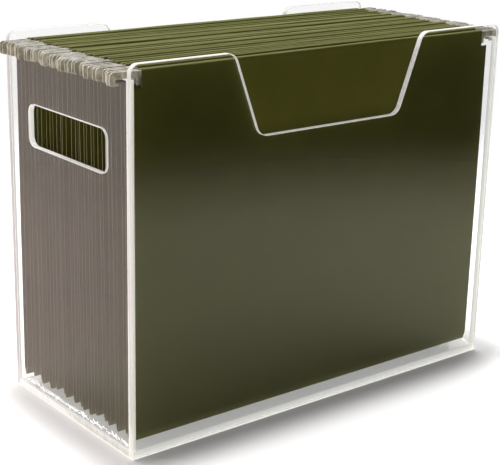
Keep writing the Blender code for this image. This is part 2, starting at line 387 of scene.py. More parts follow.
def handling_marks():
    """Shader group: fine rub marks and a slow ripple, as on any handled hard surface."""
    group, given, result = shader_group(
        "handling_marks",
        {"Mark Size": "Float", "Low": "Float", "High": "Float"},
        {"Roughness": "Float", "Height": "Float"},
    )
    where = add_node(group, "ShaderNodeTexCoord")
    streaks = add_node(group, "ShaderNodeMapping", Scale=(1.0, 1.0, 0.12))
    fine = add_node(group, "ShaderNodeTexNoise", Detail=6.0, Roughness=0.7)
    broad = add_node(group, "ShaderNodeTexNoise", Scale=26.0, Detail=2.0)
    spread = map_range(group, "LINEAR", From_Min=0.35, From_Max=0.75)
    link(group, where, "Object", streaks, "Vector")
    link(group, streaks, "Vector", fine, "Vector")
    link(group, where, "Object", broad, "Vector")
    link(group, given, "Mark Size", fine, "Scale")
    link(group, fine, "Fac", spread, "Value")
    link(group, given, "Low", spread, "To Min")
    link(group, given, "High", spread, "To Max")
    link(group, spread, "Result", result, "Roughness")
    link(group, broad, "Fac", result, "Height")
    return group


MARKS = handling_marks()


def add_marks(tree, shader, mark_size, low, high, strength, distance):
    """Places the handling marks in a material: they vary its roughness and its normal."""
    marks = tree.nodes.new("ShaderNodeGroup")
    marks.node_tree = MARKS
    marks.inputs["Mark Size"].default_value = mark_size
    marks.inputs["Low"].default_value = low
    marks.inputs["High"].default_value = high
    bump = add_node(tree, "ShaderNodeBump", Strength=strength, Distance=distance)
    link(tree, marks, "Roughness", shader, "Roughness")
    link(tree, marks, "Height", bump, "Height")
    link(tree, bump, "Normal", shader, "Normal")


def clear_face():
    """Cast acrylic, IOR 1.49, with the faintest warm tint and hairline rubs."""
    material, tree, shader = new_material("clear_acrylic")
    shader.inputs["Base Color"].default_value = (0.985, 0.99, 0.985, 1)
    shader.inputs["Transmission Weight"].default_value = 1.0
    shader.inputs["IOR"].default_value = ACRYLIC_IOR
    add_marks(tree, shader, 420.0, 0.0, 0.015, 0.015, 0.0002)
    return material


def polished_edge(name, dull, bright, painted_glow):
    """Outer edges read as a bright, streaky line: a painted glow (emission) stands in for the light
    the sheet gathers and pipes to them.
    """
    material, tree, shader = new_material(name)
    where = add_node(tree, "ShaderNodeTexCoord")
    drawn = add_node(tree, "ShaderNodeMapping", Scale=(1.0, 1.0, 0.02))
    streaks = add_node(tree, "ShaderNodeTexNoise", Scale=900.0, Detail=3.0, Roughness=0.6)
    tint = color_ramp(tree, dull, bright, 0.38, 0.58)
    link(tree, where, "Object", drawn, "Vector")
    link(tree, drawn, "Vector", streaks, "Vector")
    link(tree, streaks, "Fac", tint, "Fac")
    link(tree, tint, "Color", shader, "Emission Color")
    shader.inputs["Base Color"].default_value = (0.95, 0.95, 0.93, 1)
    shader.inputs["Transmission Weight"].default_value = 0.4
    shader.inputs["IOR"].default_value = ACRYLIC_IOR
    shader.inputs["Emission Strength"].default_value = painted_glow
    add_marks(tree, shader, 700.0, 0.05, 0.25, 0.1, 0.0002)
    return material


def cemented_face():
    """Saw-cut faces inside the joints: frosted, wetted by cement in patches, with a painted glow."""
    material, tree, shader = new_material("cemented_saw_cut")
    where = add_node(tree, "ShaderNodeTexCoord")
    patches = add_node(tree, "ShaderNodeTexNoise", Scale=300.0, Detail=3.0, Distortion=1.5)
    tint = color_ramp(tree, (0.66, 0.66, 0.66, 1), (0.96, 0.96, 0.94, 1), 0.35, 0.6)
    link(tree, where, "Object", patches, "Vector")
    link(tree, patches, "Fac", tint, "Fac")
    link(tree, tint, "Color", shader, "Base Color")
    # Painted glow: the emission stands in for light piped through the sheet to the joint.
    shader.inputs["Emission Color"].default_value = (1.0, 1.0, 0.985, 1)
    shader.inputs["Emission Strength"].default_value = 0.45
    add_marks(tree, shader, 900.0, 0.35, 0.6, 0.3, 0.0002)
    return material


ACRYLIC_FINISHES = [
    clear_face(),
    polished_edge("flame_polished_edge_painted_glow", (0.62, 0.61, 0.60, 1), (1.0, 0.99, 0.94, 1), 0.42),
    cemented_face(),
    # The back sheet's edges: a dimmer, bluer copy, with painted shade on the painted glow.
    polished_edge("shaded_polished_edge_painted_glow", (0.60, 0.60, 0.68, 1), (0.86, 0.86, 0.96, 1), 0.20),
]
CLEAR, POLISHED, CEMENTED, SHADED = range(4)


def finish_acrylic(piece, body, node, flat_axis, joint_test, rim=POLISHED):
    """Gives the sheet faces, the outer edges and the cemented edges their own finish."""
    for material in ACRYLIC_FINISHES:
        piece.data.materials.append(material)
    for face in piece.data.polygons:
        if abs(face.normal[flat_axis]) > 0.98:
            face.material_index = CLEAR
        elif joint_test(face):
            face.material_index = CEMENTED
        else:
            face.material_index = rim
    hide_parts(node)
    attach(piece, body)


STANDING_ALONG_X = Matrix.Rotation(math.pi / 2.0, 4, "X")
STANDING_ALONG_Y = Matrix.Rotation(math.pi / 2.0, 4, "Z") @ STANDING_ALONG_X

front_low, front_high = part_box("front_panel")
back_low, back_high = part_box("back_panel")
WALL = front_high.y - front_low.y
HALF_WIDTH = front_high.x
BOX_HEIGHT = front_high.z


def notched_sheet(node, low, high, rim):
    """Front and back: full width, two raised corner ears, a tapered finger notch between."""
    ear_radius = 6.2 * MM
    notch_radius = 8.5 * MM
    notch_top = 80.0 * MM
    notch_floor = 59.5 * MM
    floor_height = BOX_HEIGHT - 54.0 * MM
    half = HALF_WIDTH
    corners = [
        (-half, 0.0, 0.8 * MM),
        (half, 0.0, 0.8 * MM),
        (half, BOX_HEIGHT, ear_radius),
        (notch_top, BOX_HEIGHT, notch_radius),
        (notch_floor, floor_height, notch_radius),
        (-notch_floor, floor_height, notch_radius),
        (-notch_top, BOX_HEIGHT, notch_radius),
        (-half, BOX_HEIGHT, ear_radius),
    ]
    place = Matrix.Translation((0, (low.y + high.y) / 2.0, 0)) @ STANDING_ALONG_X
    outline = rounded_outline(corners, CURVE_STEPS)
    piece = rounded_slab(node + "_acrylic", [outline], WALL, POLISH_RADIUS, EDGE_TURNS, place)
    finish_acrylic(piece, "box", node, 1, lambda face: False, rim)


def slotted_sheet(node):
    """Left and right: stands on the bottom sheet between front and back, with a hand slot."""
    low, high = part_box(node)
    half_depth = back_low.y - CEMENT_FILM
    slot_half = 46.0 * MM
    slot_radius = 6.2 * MM
    slot_low = 177.25 * MM
    slot_high = 204.75 * MM
    border = rounded_outline([
        (-half_depth, WALL + CEMENT_FILM, 0.5 * MM),
        (half_depth, WALL + CEMENT_FILM, 0.5 * MM),
        (half_depth, high.z, 0.8 * MM),
        (-half_depth, high.z, 0.8 * MM),
    ], 3)
    slot = rounded_outline([
        (-slot_half, slot_low, slot_radius),
        (slot_half, slot_low, slot_radius),
        (slot_half, slot_high, slot_radius),
        (-slot_half, slot_high, slot_radius),
    ], CURVE_STEPS)
    place = Matrix.Translation(((low.x + high.x) / 2.0, 0, 0)) @ STANDING_ALONG_Y
    piece = rounded_slab(node + "_acrylic", [border, slot], WALL, POLISH_RADIUS, EDGE_TURNS, place)

    def in_joint(face):
        near_end = abs(abs(face.center.y) - half_depth) < 1.0 * MM
        return near_end or face.center.z < WALL + 1.0 * MM

    finish_acrylic(piece, "box", node, 0, in_joint)


def floor_sheet():
    """Bottom: lies between the front and back sheets, under the two sides."""
    low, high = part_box("bottom_panel")
    half_depth = back_low.y - CEMENT_FILM
    border = rounded_outline([
        (low.x, -half_depth, 0.5 * MM),
        (high.x, -half_depth, 0.5 * MM),
        (high.x, half_depth, 0.5 * MM),
        (low.x, half_depth, 0.5 * MM),
    ], 3)
    place = Matrix.Translation((0, 0, WALL / 2.0))
    piece = rounded_slab("bottom_panel_acrylic", [border], WALL, POLISH_RADIUS, EDGE_TURNS, place)
    finish_acrylic(
        piece, "box", "bottom_panel", 2,
        lambda face: abs(abs(face.center.y) - half_depth) < 1.0 * MM,
    )


notched_sheet("front_panel", front_low, front_high, POLISHED)
notched_sheet("back_panel", back_low, back_high, SHADED)
slotted_sheet("left_panel")
slotted_sheet("right_panel")
floor_sheet()


# ======================================================================================
# Cement smears.  Solvent cement squeezed out of the joints under the two side sheets and
# set in flat, glassy dabs on their inner faces, where it cannot be wiped off.
# ======================================================================================
DABS_EACH_SIDE = 130
DAB_LOW = 0.5 * MM
DAB_HIGH = 1.5 * MM
DAB_FLATNESS = 0.16
DAB_LENGTH = 1.5
DAB_HEIGHT = 0.45
DAB_LEAN = 1.2
DAB_LIFT = 1.6 * MM


def geometry_tree(name, inputs):
    """An empty Geometry Nodes tree with named inputs, and the node that gives them."""
    tree = bpy.data.node_groups.new(name, "GeometryNodeTree")
    for label, kind in {"Geometry": "Geometry", **inputs}.items():
        tree.interface.new_socket(label, in_out="INPUT", socket_type="NodeSocket" + kind)
    tree.interface.new_socket("Geometry", in_out="OUTPUT", socket_type="NodeSocketGeometry")
    return tree, tree.nodes.new("NodeGroupInput")


def close_tree(tree, given, last, output, material_input):
    """Realizes the instances, sets the material and puts the result out."""
    solid = tree.nodes.new("GeometryNodeRealizeInstances")
    finish = tree.nodes.new("GeometryNodeSetMaterial")
    result = tree.nodes.new("NodeGroupOutput")
    link(tree, last, output, solid, "Geometry")
    link(tree, solid, "Geometry", finish, "Geometry")
    link(tree, given, material_input, finish, "Material")
    link(tree, finish, "Geometry", result, "Geometry")
    return tree


def dabs_tree():
    """Geometry Nodes: flat dabs of random size, lean and place along the line from Start to End."""
    tree, given = geometry_tree("cement_dabs", {
        "Start": "Vector", "End": "Vector", "Count": "Int", "Spread": "Vector", "Smallest": "Float",
        "Largest": "Float", "Flatness": "Float", "Seed": "Int", "Cement": "Material",
    })
    row = tree.nodes.new("GeometryNodeMeshLine")
    row.mode = "END_POINTS"
    link(tree, given, "Count", row, "Count")
    link(tree, given, "Start", row, "Start Location")
    link(tree, given, "End", row, "Offset")
    scatter = tree.nodes.new("FunctionNodeRandomValue")
    scatter.data_type = "FLOAT_VECTOR"
    scatter.inputs[0].default_value = (0.0, -1.0, 0.0)
    link(tree, given, "Seed", scatter, "Seed")
    spread = add_node(tree, "ShaderNodeVectorMath", {"operation": "MULTIPLY"})
    link(tree, scatter, 0, spread, 0)
    link(tree, given, "Spread", spread, 1)
    moved = tree.nodes.new("GeometryNodeSetPosition")
    link(tree, row, "Mesh", moved, "Geometry")
    link(tree, spread, 0, moved, "Offset")
    blob = add_node(tree, "GeometryNodeMeshIcoSphere", Radius=1.0, Subdivisions=2)
    size = tree.nodes.new("FunctionNodeRandomValue")
    size.data_type = "FLOAT"
    link(tree, given, "Smallest", size, 2)
    link(tree, given, "Largest", size, 3)
    link(tree, given, "Seed", size, "Seed")
    width = calculate(tree, "MULTIPLY", DAB_LENGTH)
    link(tree, size, 1, width, 0)
    depth = calculate(tree, "MULTIPLY")
    link(tree, size, 1, depth, 0)
    link(tree, given, "Flatness", depth, 1)
    height = calculate(tree, "MULTIPLY", DAB_HEIGHT)
    link(tree, size, 1, height, 0)
    shape = tree.nodes.new("ShaderNodeCombineXYZ")
    link(tree, depth, 0, shape, "X")
    link(tree, width, 0, shape, "Y")
    link(tree, height, 0, shape, "Z")
    lean = tree.nodes.new("FunctionNodeRandomValue")
    lean.data_type = "FLOAT"
    lean.inputs[2].default_value = -DAB_LEAN
    lean.inputs[3].default_value = DAB_LEAN
    link(tree, given, "Seed", lean, "Seed")
    turn = tree.nodes.new("ShaderNodeCombineXYZ")
    link(tree, lean, 1, turn, "X")
    dabs = tree.nodes.new("GeometryNodeInstanceOnPoints")
    link(tree, moved, "Geometry", dabs, "Points")
    link(tree, blob, "Mesh", dabs, "Instance")
    link(tree, shape, "Vector", dabs, "Scale")
    link(tree, turn, "Vector", dabs, "Rotation")
    return close_tree(tree, given, dabs, "Instances", "Cement")


def set_inputs(modifier, values):
    """Sets a Geometry Nodes modifier's named inputs through their sockets' identifiers."""
    for item in modifier.node_group.interface.items_tree:
        if item.item_type == "SOCKET" and item.in_out == "INPUT" and item.name in values:
            modifier[item.identifier] = values[item.name]


def bake(holder, name, place):
    """The evaluated result as a plain mesh piece, put in its place; the holder is removed."""
    bpy.context.view_layer.update()
    graph = bpy.context.evaluated_depsgraph_get()
    mesh = bpy.data.meshes.new_from_object(holder.evaluated_get(graph))
    mesh.transform(place)
    mesh.name = name
    finish = mesh.materials[-1]    # Set Material leaves an empty slot before its own
    mesh.materials.clear()
    mesh.materials.append(finish)
    bpy.data.objects.remove(holder)
    piece = bpy.data.objects.new(name, mesh)
    scene.collection.objects.link(piece)
    return piece


def set_cement():
    """Hardened cement: glassy, with a milky skin in places, which also sets its painted glow."""
    material, tree, shader = new_material("set_cement")
    where = add_node(tree, "ShaderNodeTexCoord")
    skin = add_node(tree, "ShaderNodeTexNoise", Scale=700.0, Detail=2.0)
    tint = color_ramp(tree, (0.66, 0.65, 0.66, 1), (0.97, 0.97, 0.96, 1), 0.42, 0.55)
    link(tree, where, "Object", skin, "Vector")
    link(tree, skin, "Fac", tint, "Fac")
    link(tree, tint, "Color", shader, "Base Color")
    # The skin's colour also drives a painted glow: emission standing in for light caught in the dabs.
    link(tree, tint, "Color", shader, "Emission Color")
    shader.inputs["Transmission Weight"].default_value = 0.35
    shader.inputs["IOR"].default_value = 1.45
    shader.inputs["Emission Strength"].default_value = 0.6
    add_marks(tree, shader, 1200.0, 0.05, 0.3, 0.2, 0.0002)
    return material


DABS_TREE = dabs_tree()
SET_CEMENT = set_cement()


def cement_dabs(side, name, seed):
    """One side's row of dabs; side is -1.0 for the left sheet and 1.0 for the right."""
    inner_face = side * (HALF_WIDTH - WALL - DAB_FLATNESS * DAB_HIGH - CEMENT_FILM)
    half_run = back_low.y - 3.5 * MM
    holder = bpy.data.objects.new(name + "_holder", bpy.data.meshes.new(name + "_holder"))
    scene.collection.objects.link(holder)
    scatter = holder.modifiers.new("dabs", "NODES")
    scatter.node_group = DABS_TREE
    set_inputs(scatter, {
        "Start": (inner_face, -half_run, WALL + DAB_LIFT),
        "End": (inner_face, half_run, WALL + DAB_LIFT),
        "Count": DABS_EACH_SIDE,
        "Spread": (0.0, 0.8 * MM, 2.4 * MM),
        "Smallest": DAB_LOW,
        "Largest": DAB_HIGH,
        "Flatness": DAB_FLATNESS,
        "Seed": seed,
        "Cement": SET_CEMENT,
    })
    piece = bake(holder, name, Matrix.Identity(4))
    piece.data.shade_smooth()
    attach(piece, "box")


cement_dabs(-1.0, "left_cement_dabs", 11)
cement_dabs(1.0, "right_cement_dabs", 23)


# ======================================================================================
# Folder sheets.  Each folder is one sheet of olive card stock, creased at the bottom,
# with a glued hem along each top edge; its flaps hang a little bowed between the hems.
# ======================================================================================
FOLDERS = sorted(name for name in frame["bodies"] if name.startswith("folder_"))
PAPER = 0.35 * MM
BODY_WIDTH = 298.5 * MM
HEM_WIDTH = 288.0 * MM
SHOULDER = 233.0 * MM
STATIONS = 14
FLAP_POINTS = 18
HEM_ARC_POINTS = 9
HEM_UNEVEN = 0.45 * MM
FLAP_BOW = 0.3 * MM
FLAP_RIPPLE = 1.1 * MM
CUT_EDGE_SLOT = 1


def reckon(tree, operation, first, second):
    """A Math node; first and second are (node, output) pairs or plain numbers."""
    node = tree.nodes.new("ShaderNodeMath")
    node.operation = operation
    for slot_index, value in enumerate((first, second)):
        if isinstance(value, tuple):
            link(tree, value[0], value[1], node, slot_index)
        elif value is not None:
            node.inputs[slot_index].default_value = value
    return node


def sheet_tree():
    """Geometry Nodes: sweeps a folder's profile along X, ripples the flaps, trims the corners."""
    tree, given = geometry_tree("folder_sheet", {
        "Body Width": "Float", "Hem Width": "Float", "Shoulder Height": "Float", "Stations": "Int",
        "Ripple": "Float", "Seed": "Float", "Stock": "Material",
    })
    size = tree.nodes.new("GeometryNodeAttributeDomainSize")
    size.component = "MESH"
    link(tree, given, "Geometry", size, "Geometry")
    grid = tree.nodes.new("GeometryNodeMeshGrid")
    link(tree, given, "Stations", grid, "Vertices X")
    link(tree, size, "Point Count", grid, "Vertices Y")

    index = tree.nodes.new("GeometryNodeInputIndex")
    row = reckon(tree, "MODULO", (index, "Index"), (size, "Point Count"))
    ratio = reckon(tree, "DIVIDE", (index, "Index"), (size, "Point Count"))
    column = reckon(tree, "FLOOR", (ratio, 0), None)

    # Inner stations share the hem's width; the two outermost fall on the body's edges.
    spans = reckon(tree, "SUBTRACT", (given, "Stations"), 3.0)
    step = reckon(tree, "DIVIDE", (given, "Hem Width"), (spans, 0))
    from_edge = reckon(tree, "SUBTRACT", (column, 0), 1.0)
    along = reckon(tree, "MULTIPLY", (from_edge, 0), (step, 0))
    half_hem = reckon(tree, "MULTIPLY", (given, "Hem Width"), 0.5)
    from_middle = reckon(tree, "SUBTRACT", (along, 0), (half_hem, 0))
    half_body = reckon(tree, "MULTIPLY", (given, "Body Width"), 0.5)
    low_edge = reckon(tree, "MULTIPLY", (half_body, 0), -1.0)
    not_under = reckon(tree, "MAXIMUM", (from_middle, 0), (low_edge, 0))
    across = reckon(tree, "MINIMUM", (not_under, 0), (half_body, 0))

    where = tree.nodes.new("GeometryNodeInputPosition")
    profile = tree.nodes.new("GeometryNodeSampleIndex")
    profile.data_type = "FLOAT_VECTOR"
    link(tree, given, "Geometry", profile, "Geometry")
    link(tree, where, "Position", profile, "Value")
    link(tree, row, 0, profile, "Index")
    profile_axes = tree.nodes.new("ShaderNodeSeparateXYZ")
    link(tree, profile, "Value", profile_axes, "Vector")

    def sampled(attribute):
        named = tree.nodes.new("GeometryNodeInputNamedAttribute")
        named.data_type = "FLOAT"
        named.inputs["Name"].default_value = attribute
        sample = tree.nodes.new("GeometryNodeSampleIndex")
        sample.data_type = "FLOAT"
        link(tree, given, "Geometry", sample, "Geometry")
        link(tree, named, "Attribute", sample, "Value")
        link(tree, row, 0, sample, "Index")
        return sample

    slack = sampled("slack")
    loose = sampled("loose")
    fold = sampled("fold")
    tone = sampled("tone")

    spot = tree.nodes.new("ShaderNodeCombineXYZ")
    link(tree, across, 0, spot, "X")
    link(tree, given, "Seed", spot, "Y")
    link(tree, profile_axes, "Z", spot, "Z")
    wave = add_node(tree, "ShaderNodeTexNoise", Scale=14.0, Detail=2.0)
    link(tree, spot, "Vector", wave, "Vector")
    swing = reckon(tree, "SUBTRACT", (wave, "Fac"), 0.5)
    limited = reckon(tree, "MULTIPLY", (swing, 0), (given, "Ripple"))
    shift = reckon(tree, "MULTIPLY", (limited, 0), (slack, "Value"))
    deep = reckon(tree, "ADD", (profile_axes, "Y"), (shift, 0))

    # The hem's crown rises and dips a little along the rod.
    along_rod = tree.nodes.new("ShaderNodeCombineXYZ")
    link(tree, across, 0, along_rod, "X")
    link(tree, given, "Seed", along_rod, "Y")
    link(tree, tone, "Value", along_rod, "Z")
    bulge = add_node(tree, "ShaderNodeTexNoise", Scale=22.0, Detail=2.0)
    link(tree, along_rod, "Vector", bulge, "Vector")
    dip = reckon(tree, "SUBTRACT", (bulge, "Fac"), 0.5)
    rise = reckon(tree, "MULTIPLY", (dip, 0), (given, "Ripple"))
    raised = reckon(tree, "MULTIPLY", (rise, 0), (loose, "Value"))
    high = reckon(tree, "ADD", (profile_axes, "Z"), (raised, 0))
    target = tree.nodes.new("ShaderNodeCombineXYZ")
    link(tree, across, 0, target, "X")
    link(tree, deep, 0, target, "Y")
    link(tree, high, 0, target, "Z")
    move = tree.nodes.new("GeometryNodeSetPosition")
    link(tree, grid, "Mesh", move, "Geometry")
    link(tree, target, "Vector", move, "Position")

    def stored(before, name, value):
        store = tree.nodes.new("GeometryNodeStoreNamedAttribute")
        store.data_type = "FLOAT"
        store.domain = "POINT"
        store.inputs["Name"].default_value = name
        link(tree, before, "Geometry", store, "Geometry")
        link(tree, value, "Value", store, "Value")
        return store

    # Rub wear along the folds, peaking on the hem crowns, where it is also a painted highlight.
    worn = stored(move, "fold_wear_and_highlight", fold)
    dyed = stored(worn, "dye_batch", tone)

    # The corners beside the hems are cut away down to the shoulder.
    face_axes = tree.nodes.new("ShaderNodeSeparateXYZ")
    link(tree, where, "Position", face_axes, "Vector")
    out_from_middle = reckon(tree, "ABSOLUTE", (face_axes, "X"), None)
    past_hem = reckon(tree, "GREATER_THAN", (out_from_middle, 0), (half_hem, 0))
    above = reckon(tree, "GREATER_THAN", (face_axes, "Z"), (given, "Shoulder Height"))
    corner = reckon(tree, "MULTIPLY", (past_hem, 0), (above, 0))
    trim = tree.nodes.new("GeometryNodeDeleteGeometry")
    trim.domain = "FACE"
    link(tree, dyed, "Geometry", trim, "Geometry")
    link(tree, corner, 0, trim, "Selection")

    return close_tree(tree, given, trim, "Geometry", "Stock")


SHEET_TREE = sheet_tree()


def fibre_stock():
    """Shader group: the fibres, flecks and clouding of dyed card stock."""
    group, given, result = shader_group(
        "fibre_stock",
        {"Dark": "Color", "Light": "Color", "Fleck": "Float"},
        {"Color": "Color", "Roughness": "Float", "Height": "Float"},
    )
    where = add_node(group, "ShaderNodeTexCoord")
    lie = add_node(group, "ShaderNodeMapping", Scale=(0.35, 1.0, 1.0))
    fibres = add_node(group, "ShaderNodeTexNoise", Scale=2600.0, Detail=3.0, Roughness=0.65)
    clouds = add_node(group, "ShaderNodeTexNoise", Scale=55.0, Detail=4.0, Roughness=0.55)
    flecks = add_node(group, "ShaderNodeTexVoronoi", Scale=700.0)
    link(group, where, "Object", lie, "Vector")
    link(group, lie, "Vector", fibres, "Vector")
    link(group, where, "Object", clouds, "Vector")
    link(group, where, "Object", flecks, "Vector")
    mixed = calculate(group, "MULTIPLY_ADD", 0.7)
    link(group, fibres, "Fac", mixed, 0)
    weak_clouds = calculate(group, "MULTIPLY", 0.3)
    link(group, clouds, "Fac", weak_clouds, 0)
    link(group, weak_clouds, 0, mixed, 2)
    spread = map_range(group, "LINEAR", From_Min=0.3, From_Max=0.7)
    link(group, mixed, 0, spread, "Value")
    tone = mix_colors(group)
    link(group, spread, "Result", tone, "Factor")
    link(group, given, "Dark", tone, MIX_FIRST)
    link(group, given, "Light", tone, MIX_SECOND)
    speck = calculate(group, "LESS_THAN")
    link(group, flecks, "Distance", speck, 0)
    link(group, given, "Fleck", speck, 1)
    flecked = mix_colors(group)
    link(group, speck, 0, flecked, "Factor")
    link(group, tone, MIX_RESULT, flecked, MIX_FIRST)
    link(group, given, "Light", flecked, MIX_SECOND)
    link(group, flecked, MIX_RESULT, result, "Color")
    rough = map_range(group, "LINEAR", To_Min=0.52, To_Max=0.78)
    link(group, fibres, "Fac", rough, "Value")
    link(group, rough, "Result", result, "Roughness")
    link(group, mixed, 0, result, "Height")
    return group


STOCK = fibre_stock()


def card_stock(name, dark, light, worn, fleck):
    """Olive card: fibres from the group, paler along its folds: rub wear, and on the hem crowns also a
    painted highlight.
    """
    material, tree, shader = new_material(name)
    fibres = tree.nodes.new("ShaderNodeGroup")
    fibres.node_tree = STOCK
    fibres.inputs["Dark"].default_value = dark
    fibres.inputs["Light"].default_value = light
    fibres.inputs["Fleck"].default_value = fleck
    fold = add_node(tree, "ShaderNodeAttribute", {"attribute_name": "fold_wear_and_highlight"})
    where = add_node(tree, "ShaderNodeTexCoord")
    stretch = add_node(tree, "ShaderNodeMapping", Scale=(0.12, 1.0, 1.0))
    rub = add_node(tree, "ShaderNodeTexNoise", Scale=420.0, Detail=5.0, Roughness=0.7)
    amount = calculate(tree, "MULTIPLY")
    mix = mix_colors(tree, second=worn)
    batch = add_node(tree, "ShaderNodeAttribute", {"attribute_name": "dye_batch"})
    shift = mix_colors(tree, second=(0.86, 0.80, 0.50, 1), blend="MULTIPLY")
    link(tree, where, "Object", stretch, "Vector")
    link(tree, stretch, "Vector", rub, "Vector")
    link(tree, fold, "Fac", amount, 0)
    link(tree, rub, "Fac", amount, 1)
    link(tree, amount, 0, mix, "Factor")
    link(tree, batch, "Fac", shift, "Factor")
    link(tree, fibres, "Color", shift, MIX_FIRST)
    link(tree, shift, MIX_RESULT, mix, MIX_FIRST)
    link(tree, mix, MIX_RESULT, shader, "Base Color")
    link(tree, fibres, "Roughness", shader, "Roughness")
    bump = add_node(tree, "ShaderNodeBump", Strength=0.12, Distance=0.0001)
    link(tree, fibres, "Height", bump, "Height")
    link(tree, bump, "Normal", shader, "Normal")
    shader.inputs["Specular IOR Level"].default_value = 0.08
    return material


OLIVE = card_stock(
    "olive_card", (0.122, 0.130, 0.026, 1), (0.168, 0.178, 0.040, 1), (0.36, 0.38, 0.16, 1), 0.05
)
CUT_EDGE = card_stock(
    "cut_card_edge", (0.30, 0.28, 0.19, 1), (0.62, 0.57, 0.44, 1), (0.66, 0.62, 0.50, 1), 0.12
)


def end_points(node, low, high):
    """Mean (x, y) of a node's vertices at its left end and at its right end, within a height band."""
    points = [v.co for v in frame["nodes"][node].data.vertices if low <= v.co.z <= high]
    left = min(point.x for point in points)
    right = max(point.x for point in points)
    ends = []
    for edge in (left, right):
        near = [point for point in points if abs(point.x - edge) < 2.0 * MM]
        ends.append(Vector((edge, (min(p.y for p in near) + max(p.y for p in near)) / 2.0)))
    return ends


def folder_facts(name):
    """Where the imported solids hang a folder: middle, turn, hem spacing, crease and heights."""
    paper_low, paper_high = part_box(name + "_paper")
    rod_low, rod_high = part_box(name + "_front_rod")
    front = end_points(name + "_front_rod", rod_low.z, rod_high.z)
    back = end_points(name + "_back_rod", rod_low.z, rod_high.z)
    crease = end_points(name + "_paper", paper_low.z, paper_low.z + 0.2 * MM)
    along = front[1] - front[0]
    turn = math.atan2(along.y, along.x)
    middle = (front[0] + front[1] + back[0] + back[1]) / 4.0
    crease_middle = (crease[0] + crease[1]) / 2.0
    square = Vector((-math.sin(turn), math.cos(turn)))
    return {
        "place": Matrix.Translation((middle.x, middle.y, 0.0)) @ Matrix.Rotation(turn, 4, "Z"),
        "spacing": (back[0] - front[0]).dot(square),
        "crease": (crease_middle - middle).dot(square),
        "top": paper_high.z,
        "bottom": paper_low.z,
    }


FACTS = [folder_facts(name) for name in FOLDERS]


def hem_points(middle, top, side, tone):
    """Middle line of one hem, tail first, the outer wall flush with the flap below it.

    Each point is (y, z, slack, loose, fold, tone)."""
    wall = 0.97 * MM
    rise = 1.1 * MM
    crown = top - PAPER / 2.0 - rise
    outer = middle + side * wall
    inner = middle - side * wall
    glued = outer - side * 0.66 * MM
    points = [
        (glued, SHOULDER + 0.5 * MM, 0.0, 0.0, 0.3, tone),
        (glued, 236.6 * MM, 0.0, 0.0, 0.1, tone),
        (inner + side * 0.35 * MM, 237.9 * MM, 0.0, 0.0, 0.2, tone),
        (inner, 238.6 * MM, 0.0, 0.0, 0.2, tone),
    ]
    for step in range(HEM_ARC_POINTS):
        angle = math.pi * step / (HEM_ARC_POINTS - 1)
        crest = max(0.0, math.sin(angle))
        y = middle - side * wall * math.cos(angle)
        z = crown + rise * crest
        # The fold weight peaks on the crown's top: rub wear there, and a painted highlight.
        points.append((y, z, 0.0, crest, crest ** 3, tone))
    points.append((outer, 241.0 * MM, 0.0, 0.0, 0.05, tone))
    points.append((outer, 236.6 * MM, 0.0, 0.0, 0.0, tone))
    points.append((outer, SHOULDER, 0.05, 0.0, 0.0, tone))
    return points


def flap_points(top_y, bottom_y, bottom_z, bow, tone):
    """A flap from the shoulder down to the V fold, bowed sideways by bow at its middle."""
    points = []
    for step in range(1, FLAP_POINTS + 1):
        t = step / FLAP_POINTS
        z = SHOULDER + (bottom_z - SHOULDER) * t
        y = top_y + (bottom_y - top_y) * t + bow * math.sin(math.pi * t)
        ease = math.sin(math.pi * min(1.0, t * 1.15)) if t < 0.87 else 0.35
        points.append((y, z, ease, 0.0, 0.0, tone))
    return points


def folder_profile(number, facts):
    """The whole sheet's middle line: front hem and flap, V fold, back flap and hem."""
    front_tone = (0.618 * number) % 1.0
    back_tone = (0.618 * number + 0.35 * math.sin(5.0 * number)) % 1.0
    hem = facts["spacing"] / 2.0
    flap_half = 2.08 * MM
    crease_radius = 0.6 * MM
    crease = facts["crease"]
    front = hem_points(-hem, facts["top"] + HEM_UNEVEN * math.sin(3.3 * number), -1.0, front_tone)
    back = hem_points(hem, facts["top"] + HEM_UNEVEN * math.cos(2.6 * number), 1.0, back_tone)
    fold_top = facts["bottom"] + 6.0 * MM + PAPER / 2.0
    front_bow = -FLAP_BOW * math.sin(2.1 * number)
    back_bow = FLAP_BOW * math.cos(1.7 * number)
    front += flap_points(front[-1][0], crease - flap_half, fold_top, front_bow, front_tone)
    back += flap_points(back[-1][0], crease + flap_half, fold_top, back_bow, back_tone)
    fold = []
    for step in range(7):
        angle = math.pi * (1.2 + 0.6 * step / 6)
        y = crease + crease_radius * math.cos(angle)
        z = facts["bottom"] + crease_radius + PAPER / 2.0 + crease_radius * math.sin(angle)
        fold.append((y, z, 0.0, 0.0, 0.9, front_tone))
    return front + fold + list(reversed(back))


